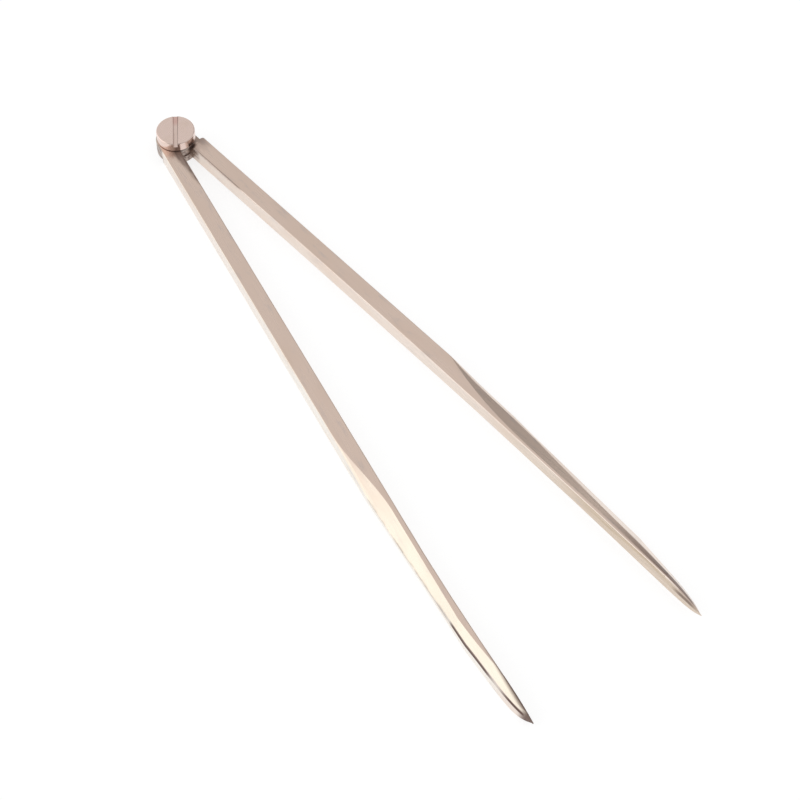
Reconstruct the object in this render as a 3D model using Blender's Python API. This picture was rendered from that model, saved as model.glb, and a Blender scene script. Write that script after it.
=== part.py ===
"""Chart divider: two legs of square bar on a half-lap hinge, held by one large slotted screw.

Metres, +Z up. The hinge axis is the world Z axis, the legs lie on the plane z = 0
and point towards -Y, and the screw's head is on top.
Each leg is drawn in its own coordinates: u runs from the hinge axis to the point,
v runs outwards from the line between the hinge axis and the point, z runs up.
"""
import math
from dataclasses import dataclass

import bmesh
import bpy
from mathutils import Vector

MM = 0.001

# Driving dimensions of both legs
LEG_LENGTH = 203.0 * MM          # hinge axis to point, measured along the leg
BAR_WIDTH = 4.8 * MM
BAR_THICKNESS = 4.72 * MM
INNER_OFFSET = 0.95 * MM         # inner face of the bar, outwards from the hinge line
POINT_OFFSET = 1.0 * MM          # how far the points lie inwards of the hinge line
EDGE_BREAK = 0.22 * MM           # small flat that breaks every long edge
REST_OPENING = math.radians(14.7)

# The long outer taper and the ground point
TAPER_START = 131.0 * MM
TAPER_SLOPE = 0.045
GROUND_LENGTH = 25.0 * MM        # length of the ground point
GROUND_EASY = 0.57               # share of the point's curve that comes in evenly
GROUND_NOSE = 6.0                # powers of the rounded nose: in plan, on top and underneath
TOP_NOSE = 4.5
UNDERSIDE_NOSE = 9.0
RIDGE_CLOSE_START = 172.0 * MM   # where the bevel starts to eat up the rest of the flat top
LOWER_BEVEL = 1.1 * MM           # height of the short bevel on the outer edge underneath
LOWER_BEVEL_END = 168.0 * MM
LOWER_BEVEL_RUNOUT = 12.0 * MM
WALL_LEAN = 0.5 * MM             # how far the outer wall of the point leans out at its foot
WALL_LEAN_LENGTH = 20.0 * MM
INNER_EASE_START = 112.0 * MM    # where the inner top edge starts to be eased
INNER_EASE_LENGTH = 25.0 * MM
INNER_BELOW_RISE = (90.0 * MM, 30.0 * MM)    # where the inner bevel underneath comes, and its length
INNER_BELOW_FALL = (162.0 * MM, 28.0 * MM)   # where it goes again

# What the filing left different on the two legs: where the inner face starts to bend in and how
# suddenly, the height of the bevel on the inner edge underneath where it is largest, how
# the bevel on the outer top edge runs out, where its ridge lies and closes in, the rim where
# the file rolled over its lower edge (shares of the bevel's width and height, before and after
# the rim's turn), and the size of the eased inner top edge
LEFT_LUG_OFFSET = 0.3 * MM       # the upper lug is filed smaller towards the crotch
LEFT_BEND_START = 150.0 * MM
LEFT_BEND_POWER = 1.6
LEFT_INNER_BELOW = 0.22 * MM
LEFT_RUNOUT_START = 110.0 * MM
LEFT_RUNOUT_LENGTH = 28.4 * MM
LEFT_RUNOUT_FULLNESS = 2.0
LEFT_RIDGE = (2.3 * MM, 2.25 * MM)
LEFT_RIDGE_CLOSE = 15.0 * MM
LEFT_RIM_TURN = (163.0 * MM, 9.0 * MM)
LEFT_RIM_WIDTH = (0.04, 0.16)
LEFT_RIM_HEIGHT = (0.06, 0.30)
LEFT_INNER_EDGE = (0.45 * MM, 0.25 * MM)
RIGHT_LUG_OFFSET = 0.0 * MM
RIGHT_BEND_START = 80.0 * MM
RIGHT_BEND_POWER = 1.5
RIGHT_INNER_BELOW = 0.7 * MM
RIGHT_RUNOUT_START = 108.0 * MM
RIGHT_RUNOUT_LENGTH = 44.0 * MM
RIGHT_RUNOUT_FULLNESS = -1.0
RIGHT_RIDGE = (1.25 * MM, 0.6 * MM)
RIGHT_RIDGE_CLOSE = 27.0 * MM
RIGHT_RIM_TURN = (142.0 * MM, 36.0 * MM)
RIGHT_RIM_WIDTH = (0.16, 0.62)
RIGHT_RIM_HEIGHT = (0.25, 0.72)
RIGHT_INNER_EDGE = (0.24 * MM, 0.2 * MM)

# Half-lap hinge
CROTCH_RADIUS = 0.5 * MM
SHOULDER_CLEARANCE = 0.74 * MM   # gap between a lug's rim and the other leg's shoulder
HORN_END = 4.9 * MM              # where the outer horn of the right leg's shoulder is filed off
HORN_RADIUS = 0.9 * MM           # rounded corner that this leaves on the leg's outer edge
LAP_CLEARANCE = 0.3 * MM         # between the two lugs
WASHER_RADIUS = 4.2 * MM
WASHER_THICKNESS = 0.4 * MM
WASHER_CLEARANCE = 0.25 * MM     # above, below and around the washer
NECK_LENGTH = 6.0 * MM           # plain bar between the lug and the first section of the leg

# Pivot screw
HEAD_RADIUS = 5.4 * MM
HEAD_HEIGHT = 2.68 * MM
HEAD_CLEARANCE = 0.3 * MM        # underside of the head to the upper lug
HEAD_EDGE = 0.25 * MM
SHOULDER_RADIUS = 2.6 * MM
THREAD_RADIUS = 2.0 * MM
THREAD_EDGE = 0.3 * MM
PIN_CLEARANCE = 0.3 * MM         # around the shoulder and around the thread
SLOT_WIDTH = 1.2 * MM
SLOT_DEPTH = 0.8 * MM            # at the middle of the head
SLOT_SLANT = math.radians(4.7)   # the saw cut runs deeper towards the legs
SLOT_TURN = math.radians(-30.9)  # the slot's direction, from +Y

ROUND_STEPS = 72
STATION_STEP = 3.0 * MM
POINT_STEP = 2.0 * MM
CUT_MARGIN = 2.0 * MM

# Worked out from the sizes above
LUG_RADIUS = INNER_OFFSET + BAR_WIDTH
SEAT_RADIUS = LUG_RADIUS + SHOULDER_CLEARANCE
GROUND_START = LEG_LENGTH - GROUND_LENGTH
HALF_THICKNESS = BAR_THICKNESS / 2
LOWER_LUG_TOP = HALF_THICKNESS - LAP_CLEARANCE / 2
UPPER_LUG_BOTTOM = HALF_THICKNESS + LAP_CLEARANCE / 2
WASHER_BOTTOM = LOWER_LUG_TOP + WASHER_CLEARANCE
WASHER_TOP = WASHER_BOTTOM + WASHER_THICKNESS
HEAD_BOTTOM = BAR_THICKNESS + HEAD_CLEARANCE
HEAD_TOP = HEAD_BOTTOM + HEAD_HEIGHT
NECK_END = max(LUG_RADIUS + CROTCH_RADIUS, SEAT_RADIUS, HORN_END + HORN_RADIUS) + NECK_LENGTH

NICKEL_SILVER = (0.72, 0.62, 0.53, 1.0)
SCREW_METAL = (0.74, 0.62, 0.56, 1.0)
WASHER_METAL = (0.55, 0.42, 0.24, 1.0)


@dataclass
class Filing:
    """What filing did to one leg: its lug, its bend, its bevel and its inner top edge."""

    lug_offset: float
    bend_start: float
    bend_power: float
    inner_below: float
    runout_start: float
    runout_length: float
    fullness: float
    ridge: tuple
    ridge_close: float
    rim_turn: tuple
    rim_width: tuple
    rim_height: tuple
    inner_edge: tuple


LEFT_FILING = Filing(LEFT_LUG_OFFSET, LEFT_BEND_START, LEFT_BEND_POWER, LEFT_INNER_BELOW,
                     LEFT_RUNOUT_START, LEFT_RUNOUT_LENGTH, LEFT_RUNOUT_FULLNESS,
                     LEFT_RIDGE, LEFT_RIDGE_CLOSE, LEFT_RIM_TURN, LEFT_RIM_WIDTH,
                     LEFT_RIM_HEIGHT, LEFT_INNER_EDGE)
RIGHT_FILING = Filing(RIGHT_LUG_OFFSET, RIGHT_BEND_START, RIGHT_BEND_POWER, RIGHT_INNER_BELOW,
                      RIGHT_RUNOUT_START, RIGHT_RUNOUT_LENGTH, RIGHT_RUNOUT_FULLNESS,
                      RIGHT_RIDGE, RIGHT_RIDGE_CLOSE, RIGHT_RIM_TURN, RIGHT_RIM_WIDTH,
                      RIGHT_RIM_HEIGHT, RIGHT_INNER_EDGE)


def clear_scene():
    for thing in list(bpy.data.objects):
        bpy.data.objects.remove(thing, do_unlink=True)


def share(value, start, length):
    """How far value lies from start to start + length, from 0 to 1."""
    return min(max((value - start) / length, 0.0), 1.0)


def metal(name, colour, roughness):
    material = bpy.data.materials.new(name)
    material.use_nodes = True
    shader = material.node_tree.nodes["Principled BSDF"]
    shader.inputs["Base Color"].default_value = colour
    shader.inputs["Metallic"].default_value = 1.0
    shader.inputs["Roughness"].default_value = roughness
    material.diffuse_color = colour
    return material


def add_object(name, bm, material):
    bmesh.ops.recalc_face_normals(bm, faces=bm.faces)
    mesh = bpy.data.meshes.new(name)
    bm.to_mesh(mesh)
    bm.free()
    mesh.materials.append(material)
    mesh.shade_smooth()
    mesh.set_sharp_from_angle(angle=math.radians(30))
    thing = bpy.data.objects.new(name, mesh)
    bpy.context.collection.objects.link(thing)
    return thing


def cut_with(thing, cutter):
    cutter.hide_render = True
    cutter.display_type = "WIRE"
    modifier = thing.modifiers.new("cut by " + cutter.name, "BOOLEAN")
    modifier.operation = "DIFFERENCE"
    modifier.solver = "EXACT"
    modifier.object = cutter


def turned(profile):
    """A solid of revolution about Z from its (radius, height) outline, which starts and ends on Z."""
    bm = bmesh.new()
    verts = [bm.verts.new((radius, 0.0, height)) for radius, height in profile]
    edges = [bm.edges.new(pair) for pair in zip(verts, verts[1:])]
    bmesh.ops.spin(bm, geom=verts + edges, cent=(0, 0, 0), axis=(0, 0, 1),
                   angle=2 * math.pi, steps=ROUND_STEPS, use_merge=True)
    bmesh.ops.remove_doubles(bm, verts=bm.verts, dist=0.001 * MM)
    return bm


def round_cutter(name, radius, bottom, top, material):
    return add_object(name, turned([(0, bottom), (radius, bottom), (radius, top), (0, top)]), material)


def arc(centre_u, centre_v, radius, first, last, steps):
    """Points along an arc, both ends included. Angles are measured from +u towards +v."""
    turns = [first + (last - first) * step / steps for step in range(steps + 1)]
    return [(centre_u + radius * math.cos(turn), centre_v + radius * math.sin(turn)) for turn in turns]


def prism_cutter(name, outline, bottom, top, side, material):
    """A cutter with a plan of (u, v) points in the leg's own coordinates."""
    bm = bmesh.new()
    low = [bm.verts.new((side * v, -u, bottom)) for u, v in outline]
    high = [bm.verts.new((side * v, -u, top)) for u, v in outline]
    bm.faces.new(low)
    bm.faces.new(high)
    for i in range(len(outline)):
        j = (i + 1) % len(outline)
        bm.faces.new((low[i], low[j], high[j], high[i]))
    return add_object(name, bm, material)


def head_outline(inset, filing):
    """Plan of the leg's hinge end, from the inner corner of the neck round the lug to the outer one."""
    lug_radius = LUG_RADIUS - filing.lug_offset
    crotch_v = INNER_OFFSET - CROTCH_RADIUS
    drop = crotch_v - filing.lug_offset
    crotch_u = math.sqrt((lug_radius + CROTCH_RADIUS) ** 2 - drop ** 2)
    touch = math.atan2(drop, crotch_u)
    crotch = arc(crotch_u, crotch_v, CROTCH_RADIUS + inset,
                 math.pi / 2, math.pi + touch, ROUND_STEPS // 8)
    lug = arc(0.0, filing.lug_offset, lug_radius - inset, touch, -1.5 * math.pi, ROUND_STEPS * 3 // 4)
    inner_corner = (NECK_END, INNER_OFFSET + inset)
    outer_corner = (NECK_END, LUG_RADIUS - inset)
    return [inner_corner] + crotch + lug[1:] + [outer_corner]


def full_lap():
    """Plan of a lap that is cut to a full round."""
    return arc(0.0, 0.0, SEAT_RADIUS, 0.0, 2 * math.pi, ROUND_STEPS)[:-1]


def filed_lap():
    """Plan of a lap whose shoulder is round as far as the outer horn, which is filed off square."""
    far = LUG_RADIUS + CUT_MARGIN
    horn_turn = math.acos(min(HORN_END / SEAT_RADIUS, 1.0))
    seat = arc(0.0, 0.0, SEAT_RADIUS, -math.pi / 2, horn_turn, ROUND_STEPS * 3 // 8)
    corner = arc(HORN_END + HORN_RADIUS, LUG_RADIUS - HORN_RADIUS, HORN_RADIUS,
                 math.pi, math.pi / 2, ROUND_STEPS // 8)
    return seat + corner + [(HORN_END + HORN_RADIUS, far), (-far, far), (-far, -SEAT_RADIUS)]


def inner_face(u, filing):
    bend = share(u, filing.bend_start, LEG_LENGTH - filing.bend_start)
    return INNER_OFFSET - (INNER_OFFSET + POINT_OFFSET) * bend ** filing.bend_power


def taper_line(u):
    return LUG_RADIUS - TAPER_SLOPE * max(u - TAPER_START, 0.0)


def outer_line(u):
    """The outermost line of the leg: the long taper, which the ground point brings in to the tip."""
    ground = share(u, GROUND_START, GROUND_LENGTH)
    curve = GROUND_EASY * ground + (1 - GROUND_EASY) * ground ** GROUND_NOSE
    return taper_line(u) - (taper_line(LEG_LENGTH) + POINT_OFFSET) * curve


def between(pair, part):
    return pair[0] + (pair[1] - pair[0]) * part


def leg_section(u, filing):
    """The nine corners (v, z) of the leg at u, from the inner top edge over the top and back below."""
    ground = share(u, GROUND_START, GROUND_LENGTH)
    keep_top = 1 - ground ** TOP_NOSE
    keep_below = 1 - ground ** UNDERSIDE_NOSE
    along = share(u, filing.runout_start, filing.runout_length)
    square = (1 - along) ** 2 * (1 + filing.fullness * along)
    ease = share(u, INNER_EASE_START, INNER_EASE_LENGTH)
    rim = share(u, *filing.rim_turn)

    inner = inner_face(u, filing)
    outer = outer_line(u)
    width = outer - inner
    top = HALF_THICKNESS * keep_top
    underside = -HALF_THICKNESS * keep_below

    inner_width, inner_drop = (between((EDGE_BREAK, size), ease) for size in filing.inner_edge)
    inner_width = min(inner_width, width / 5)
    ridge = between(filing.ridge, share(u, filing.runout_start, GROUND_START - filing.runout_start))
    ridge = between((ridge, taper_line(u) - EDGE_BREAK), square)
    ridge = between((ridge, inner + 1.5 * inner_width), share(u, RIDGE_CLOSE_START, filing.ridge_close))
    if ground > 0:
        ridge = min(ridge, outer - width / 3)
    ridge = max(ridge, inner + 1.2 * inner_width)

    crease = (HALF_THICKNESS - EDGE_BREAK) * square
    brow = (outer - (outer - ridge) * between(filing.rim_width, rim),
            crease + (top - crease) * between(filing.rim_height, rim))

    below = LOWER_BEVEL * (1 - square) * (1 - share(u, LOWER_BEVEL_END, LOWER_BEVEL_RUNOUT))
    below = max(below, EDGE_BREAK * keep_below)
    foot = outer + WALL_LEAN * share(u, GROUND_START, WALL_LEAN_LENGTH) * keep_below
    inner_below = between((EDGE_BREAK, filing.inner_below),
                          share(u, *INNER_BELOW_RISE) * (1 - share(u, *INNER_BELOW_FALL))) * keep_below

    upper = [(inner, top - inner_drop * keep_top), (inner + inner_width, top), (ridge, top),
             brow, (outer, crease)]
    lower = [(foot, underside + below), (foot - 1.4 * min(below, width / 4), underside),
             (inner + min(inner_below, width / 5), underside), (inner, underside + inner_below)]
    return [(v, HALF_THICKNESS + z) for v, z in upper + lower]


def stations(filing):
    """Places along the leg where a section is drawn, the last one just short of the point."""
    places = [min(filing.runout_start, filing.bend_start)]
    while places[-1] + STATION_STEP < GROUND_START:
        places.append(places[-1] + STATION_STEP)
    if GROUND_START - places[-1] < STATION_STEP / 2:
        places.pop()
    places.append(GROUND_START)
    count = max(round(GROUND_LENGTH / POINT_STEP), 2)
    ground = [GROUND_START + GROUND_LENGTH * step / count for step in range(1, count)]
    near_point = LEG_LENGTH - GROUND_LENGTH / count / 3
    return places + ground + [near_point]


def leg_body(side, filing):
    """The closed solid of a leg before its lap is cut. side is -1 on the left and 1 on the right."""
    bm = bmesh.new()

    def corner(u, v, z):
        return bm.verts.new(Vector((side * v, -u, z)))

    levels = [(EDGE_BREAK, 0.0), (0.0, EDGE_BREAK),
              (0.0, BAR_THICKNESS - EDGE_BREAK), (EDGE_BREAK, BAR_THICKNESS)]
    rings = [[corner(u, v, z) for u, v in head_outline(inset, filing)] for inset, z in levels]
    for low, high in zip(rings, rings[1:]):
        for i in range(len(low) - 1):
            bm.faces.new((low[i], low[i + 1], high[i + 1], high[i]))
    bm.faces.new(rings[0])
    bm.faces.new(rings[-1])

    # The neck's open end has the section's corners, all but the brow of the bevel, so a small
    # triangle closes the brow where the bevel starts
    neck = [rings[2][0], rings[3][0], rings[3][-1], rings[2][-1],
            rings[1][-1], rings[0][-1], rings[0][0], rings[1][0]]
    first, *others = stations(filing)
    section = [corner(first, v, z) for v, z in leg_section(first, filing)]
    start = section[:3] + section[4:]
    for i in range(len(neck)):
        j = (i + 1) % len(neck)
        bm.faces.new((neck[i], neck[j], start[j], start[i]))
    bm.faces.new((section[2], section[4], section[3]))
    for u in others:
        following = [corner(u, v, z) for v, z in leg_section(u, filing)]
        for i in range(len(section)):
            j = (i + 1) % len(section)
            bm.faces.new((section[i], section[j], following[j], following[i]))
        section = following
    point = corner(LEG_LENGTH, -POINT_OFFSET, HALF_THICKNESS)
    for i in range(len(section)):
        bm.faces.new((section[i], section[(i + 1) % len(section)], point))
    return bm


def make_leg(name, side, filing, lap_plan, lap_bottom, lap_top, hole_radius, material):
    """A leg with its lug, turned about the hinge axis, with its lap cut away over the plan given."""
    leg = add_object(name, leg_body(side, filing), material)
    lap = prism_cutter(name + "_lap_cutter", lap_plan, lap_bottom, lap_top, side, material)
    for thing in (leg, lap):
        thing.rotation_euler.z = side * REST_OPENING / 2
    hole = round_cutter(name + "_hole_cutter", hole_radius,
                        -CUT_MARGIN, BAR_THICKNESS + CUT_MARGIN, material)
    cut_with(leg, lap)
    cut_with(leg, hole)
    return leg


def make_legs(material):
    left = make_leg("left_leg", -1, LEFT_FILING, full_lap(), -CUT_MARGIN, UPPER_LUG_BOTTOM,
                    SHOULDER_RADIUS + PIN_CLEARANCE, material)
    recess = round_cutter("washer_recess_cutter", WASHER_RADIUS + WASHER_CLEARANCE,
                          -CUT_MARGIN, WASHER_TOP + WASHER_CLEARANCE, material)
    cut_with(left, recess)
    make_leg("right_leg", 1, RIGHT_FILING, filed_lap(), LOWER_LUG_TOP, BAR_THICKNESS + CUT_MARGIN,
             THREAD_RADIUS + PIN_CLEARANCE, material)


def make_washer(material):
    """A flat washer between the lugs, let into the underside of the upper one."""
    profile = [(0, WASHER_BOTTOM), (WASHER_RADIUS, WASHER_BOTTOM), (WASHER_RADIUS, WASHER_TOP), (0, WASHER_TOP)]
    washer = add_object("lap_washer", turned(profile), material)
    hole = round_cutter("washer_hole_cutter", SHOULDER_RADIUS + PIN_CLEARANCE,
                        WASHER_BOTTOM - CUT_MARGIN, WASHER_TOP + CUT_MARGIN, material)
    cut_with(washer, hole)
    return washer


def make_screw(material):
    shoulder_bottom = LOWER_LUG_TOP + LAP_CLEARANCE
    profile = [
        (0, 0),
        (THREAD_RADIUS - THREAD_EDGE, 0),
        (THREAD_RADIUS, THREAD_EDGE),
        (THREAD_RADIUS, shoulder_bottom),
        (SHOULDER_RADIUS, shoulder_bottom),
        (SHOULDER_RADIUS, HEAD_BOTTOM),
        (HEAD_RADIUS, HEAD_BOTTOM),
        (HEAD_RADIUS, HEAD_TOP - HEAD_EDGE),
        (HEAD_RADIUS - HEAD_EDGE, HEAD_TOP),
        (0, HEAD_TOP),
    ]
    screw = add_object("pivot_screw", turned(profile), material)

    bm = bmesh.new()
    bmesh.ops.create_cube(bm, size=1.0)
    slot_height = SLOT_DEPTH + CUT_MARGIN
    bmesh.ops.scale(bm, verts=bm.verts,
                    vec=(SLOT_WIDTH, 2 * (HEAD_RADIUS + CUT_MARGIN), slot_height))
    bmesh.ops.translate(bm, verts=bm.verts, vec=(0, 0, slot_height / 2))
    slot = add_object("slot_cutter", bm, material)
    slot.location.z = HEAD_TOP - SLOT_DEPTH
    slot.rotation_euler = (SLOT_SLANT, 0, SLOT_TURN)
    cut_with(screw, slot)
    return screw


def main():
    clear_scene()
    leg_metal = metal("nickel silver", NICKEL_SILVER, 0.34)
    screw_metal = metal("turned nickel silver", SCREW_METAL, 0.3)
    washer_metal = metal("washer bronze", WASHER_METAL, 0.45)

    make_legs(leg_metal)
    make_washer(washer_metal)
    make_screw(screw_metal)


main()
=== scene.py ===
# %% [markdown]
# # A pair of chart dividers
#
# Chart dividers measure distances on a sea chart: two legs of square metal bar turn on one
# stiff hinge and end in ground points. This lesson builds the finished look of a pair that
# lies open on a white table. The model that is loaded first is the working one. It says where
# every piece sits and what turns, so the pieces made here only have to take their places on it.

# %% Load the working model
import math
from dataclasses import dataclass

import bmesh
import bpy
from mathutils import Matrix, Vector, noise


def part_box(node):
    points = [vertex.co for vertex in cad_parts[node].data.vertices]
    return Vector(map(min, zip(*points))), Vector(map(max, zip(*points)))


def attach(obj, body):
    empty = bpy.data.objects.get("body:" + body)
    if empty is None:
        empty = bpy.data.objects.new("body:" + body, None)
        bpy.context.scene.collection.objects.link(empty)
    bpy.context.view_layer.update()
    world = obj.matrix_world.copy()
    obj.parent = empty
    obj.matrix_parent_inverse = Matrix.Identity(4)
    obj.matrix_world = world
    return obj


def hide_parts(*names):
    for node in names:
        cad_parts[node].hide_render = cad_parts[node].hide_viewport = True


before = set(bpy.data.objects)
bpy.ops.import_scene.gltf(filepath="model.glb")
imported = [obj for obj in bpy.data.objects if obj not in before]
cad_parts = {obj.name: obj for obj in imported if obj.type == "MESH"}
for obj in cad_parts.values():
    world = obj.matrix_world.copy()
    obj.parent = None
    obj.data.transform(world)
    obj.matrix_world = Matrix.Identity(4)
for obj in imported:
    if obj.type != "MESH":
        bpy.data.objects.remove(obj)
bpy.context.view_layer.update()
MM = 0.001
print("nodes:", sorted(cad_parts))

# %% [markdown]
# The camera is set by what a photographer would change: where it stands around the
# instrument, how high it is, how far away, and what it looks at. Three axes at right angles
# then make its matrix. The roll is the small tilt that a hand-held camera always has.

# %% Camera
CAMERA_AROUND = math.radians(-34.753)
CAMERA_HEIGHT = math.radians(54.708)
CAMERA_ROLL = math.radians(-0.235)
CAMERA_LOOKS_AT = Vector((2.42, -107.31, 0.0)) * MM
CAMERA_DISTANCE = 525.5 * MM
CAMERA_LENS = 91.59
SENSOR_WIDTH = 36.0

towards_camera = Vector((math.sin(CAMERA_AROUND) * math.cos(CAMERA_HEIGHT),
                         -math.cos(CAMERA_AROUND) * math.cos(CAMERA_HEIGHT),
                         math.sin(CAMERA_HEIGHT)))
level_right = Vector((0, 0, 1)).cross(towards_camera).normalized()
level_up = towards_camera.cross(level_right)
image_right = level_right * math.cos(CAMERA_ROLL) - level_up * math.sin(CAMERA_ROLL)
image_up = level_right * math.sin(CAMERA_ROLL) + level_up * math.cos(CAMERA_ROLL)

camera_data = bpy.data.cameras.new("camera")
camera_data.lens = CAMERA_LENS
camera_data.sensor_width = SENSOR_WIDTH
camera_data.clip_start = 0.01
camera = bpy.data.objects.new("camera", camera_data)
bpy.context.collection.objects.link(camera)
camera_axes = Matrix((image_right, image_up, towards_camera)).transposed().to_4x4()
camera_place = CAMERA_LOOKS_AT + towards_camera * CAMERA_DISTANCE
camera.matrix_world = Matrix.Translation(camera_place) @ camera_axes
bpy.context.scene.camera = camera
print("camera at", tuple(round(place, 3) for place in camera.location))

# %% [markdown]
# Shader nodes are laid out by a small helper, the bench. It adds a node, fills its sockets
# with numbers or with links, and has short names for the steps that metal finishes need:
# sums, soft steps between two limits, distances, noise, and a blend of two colours.

# %% A bench for shader nodes
class Bench:
    """Lays nodes on one node tree and links them."""

    def __init__(self, tree):
        self.tree = tree

    def add(self, kind, inputs, **settings):
        made = self.tree.nodes.new("ShaderNode" + kind)
        for name, value in settings.items():
            setattr(made, name, value)
        for name, value in inputs.items():
            socket = made.inputs[name]
            if isinstance(value, bpy.types.NodeSocket):
                self.tree.links.new(value, socket)
            else:
                socket.default_value = value
        return made

    def maths(self, operation, *terms):
        """One Math node: ADD, SUBTRACT, MULTIPLY and so on."""
        return self.add("Math", dict(enumerate(terms)), operation=operation).outputs[0]

    def plus(self, first, second):
        return self.maths("ADD", first, second)

    def minus(self, first, second):
        return self.maths("SUBTRACT", first, second)

    def product(self, *terms):
        result = terms[0]
        for term in terms[1:]:
            result = self.maths("MULTIPLY", result, term)
        return result

    def most(self, *terms):
        """The largest of several masks."""
        result = terms[0]
        for term in terms[1:]:
            result = self.maths("MAXIMUM", result, term)
        return result

    def away(self, value, line):
        """How far a value is from a line, on either side of it."""
        return self.maths("ABSOLUTE", self.minus(value, line))

    def rise(self, value, low, high, first=0.0, last=1.0):
        """A soft step: first below low, last above high."""
        node = self.add("MapRange", {"Value": value, "From Min": low, "From Max": high,
                                     "To Min": first, "To Max": last},
                        interpolation_type="SMOOTHSTEP")
        return node.outputs["Result"]

    def hump(self, value, low, high, edge):
        """1 between low and high and 0 outside, with soft edges."""
        return self.product(self.rise(value, low - edge, low + edge),
                            self.rise(value, high - edge, high + edge, 1.0, 0.0))

    def parts(self, vector):
        """X, Y and Z of a vector."""
        return self.add("SeparateXYZ", {"Vector": vector}).outputs

    def radius(self, x, y):
        """How far a place in a plane is from the plane's middle."""
        flat = self.add("CombineXYZ", {"X": x, "Y": y}).outputs["Vector"]
        return self.add("VectorMath", {0: flat}, operation="LENGTH").outputs["Value"]

    def noise(self, place, scale, detail=2.0, roughness=0.5):
        node = self.add("TexNoise", {"Vector": place, "Scale": scale, "Detail": detail,
                                     "Roughness": roughness})
        return node.outputs["Fac"]

    def stretched(self, place, scale):
        node = self.add("Mapping", {"Vector": place, "Scale": scale})
        return node.outputs["Vector"]

    def blend(self, share, first, second):
        node = self.add("Mix", {"Factor": share, 6: first, 7: second}, data_type="RGBA")
        return node.outputs[2]


def grey(level):
    return (level, level, level, 1.0)


print("bench has", len([name for name in vars(Bench) if not name.startswith("_")]), "kinds of step")

# %% [markdown]
# The light is a plain white room. Bare metal shows what it reflects, so the room matters more
# than any lamp: it is brighter overhead and on the left, where a window or a soft box would
# be, and dimmer on the right and behind the camera. Each of those is a soft round patch of
# the world's sky, found by how closely a direction points at its middle. A painted sky gives
# clean reflections without a lamp's hard shadow.

# %% The white room
SKY_LEVEL = 0.64
SKY_PATCHES = {
    "bright ceiling": ((0.15, 0.25, 0.95), 8.0, 32.0, 0.13),
    "soft box on the left": ((-0.82, 0.50, 0.28), 24.0, 46.0, 0.64),
    "dim side on the right": ((0.86, 0.46, 0.18), 15.0, 42.0, -0.27),
    "dim behind the camera": ((-0.46, -0.67, 0.57), 12.0, 42.0, -0.30),
}

world = bpy.data.worlds.new("white room")
bpy.context.scene.world = world
world.use_nodes = True
room = Bench(world.node_tree)
sky_direction = room.add("TexCoord", {}).outputs["Generated"]
sky = SKY_LEVEL
for middle, inner, outer, change in SKY_PATCHES.values():
    aim = room.add("VectorMath", {0: sky_direction, 1: Vector(middle).normalized()},
                   operation="DOT_PRODUCT").outputs["Value"]
    nearest, farthest = math.cos(math.radians(inner)), math.cos(math.radians(outer))
    patch = room.rise(aim, farthest, nearest, 0.0, change)
    sky = room.plus(patch, sky)
seen_directly = room.add("LightPath", {}).outputs["Is Camera Ray"]
background = world.node_tree.nodes["Background"]
world.node_tree.links.new(room.blend(seen_directly, sky, grey(1.0)), background.inputs["Color"])
bpy.context.scene.view_settings.view_transform = "Standard"
print("sky patches:", len(SKY_PATCHES))

# %% [markdown]
# The table is a white sheet. Part of its white is its own glow, which only the camera and the
# shiny metal see, so that the sheet is pure white in the picture and in the polished sides of
# the legs. The rest is ordinary matt white, which still takes the instrument's soft shadow.

# %% The white table
TABLE_SIZE = 2.0
TABLE_WHITE = 0.36
TABLE_GLOW = 0.78
PAPER_ROUGHNESS = 0.9

bm = bmesh.new()
bmesh.ops.create_grid(bm, x_segments=1, y_segments=1, size=TABLE_SIZE)
table_mesh = bpy.data.meshes.new("table")
bm.to_mesh(table_mesh)
bm.free()
table = bpy.data.objects.new("table", table_mesh)
bpy.context.collection.objects.link(table)

table_paper = bpy.data.materials.new("white paper")
table_paper.use_nodes = True
paper = Bench(table_paper.node_tree)
paper_shader = table_paper.node_tree.nodes["Principled BSDF"]
paper_shader.inputs["Base Color"].default_value = grey(TABLE_WHITE)
paper_shader.inputs["Roughness"].default_value = PAPER_ROUGHNESS
paper_shader.inputs["Specular IOR Level"].default_value = 0.0
paper_shader.inputs["Emission Color"].default_value = grey(1.0)
ray = paper.add("LightPath", {}).outputs
seen = paper.most(ray["Is Camera Ray"], ray["Is Glossy Ray"], ray["Is Transmission Ray"])
glow = paper.product(seen, TABLE_GLOW)
table_paper.node_tree.links.new(glow, paper_shader.inputs["Emission Strength"])
table_mesh.materials.append(table_paper)
print("table:", TABLE_SIZE * 2, "m wide")

# %% [markdown]
# The sizes come next. Some are read from the working model, such as the thickness of the bar
# and the size of the screw's head. The others are the ones a maker would mark on the bar.
# Places on a leg are given as u, from the hinge to the point, v, outwards across the leg, and
# z, up.

# %% Sizes
bar_low, bar_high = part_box("right_leg")
screw_low, screw_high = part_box("pivot_screw")
washer_low, washer_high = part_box("lap_washer")
BAR_THICKNESS = bar_high[2] - bar_low[2]
HALF_THICKNESS = BAR_THICKNESS / 2
HEAD_RADIUS = (screw_high[0] - screw_low[0]) / 2
HEAD_TOP = screw_high[2]

LEG_LENGTH = 203.0 * MM
BAR_WIDTH = 4.8 * MM
INNER_OFFSET = 0.95 * MM
POINT_OFFSET = 1.0 * MM
LUG_RADIUS = INNER_OFFSET + BAR_WIDTH
EDGE_BREAK = 0.22 * MM
REST_OPENING = math.radians(14.7)
print("bar", round(BAR_THICKNESS / MM, 2), "mm thick, head",
      round(HEAD_RADIUS * 2 / MM, 2), "mm across, top at", round(HEAD_TOP / MM, 2), "mm")

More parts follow.
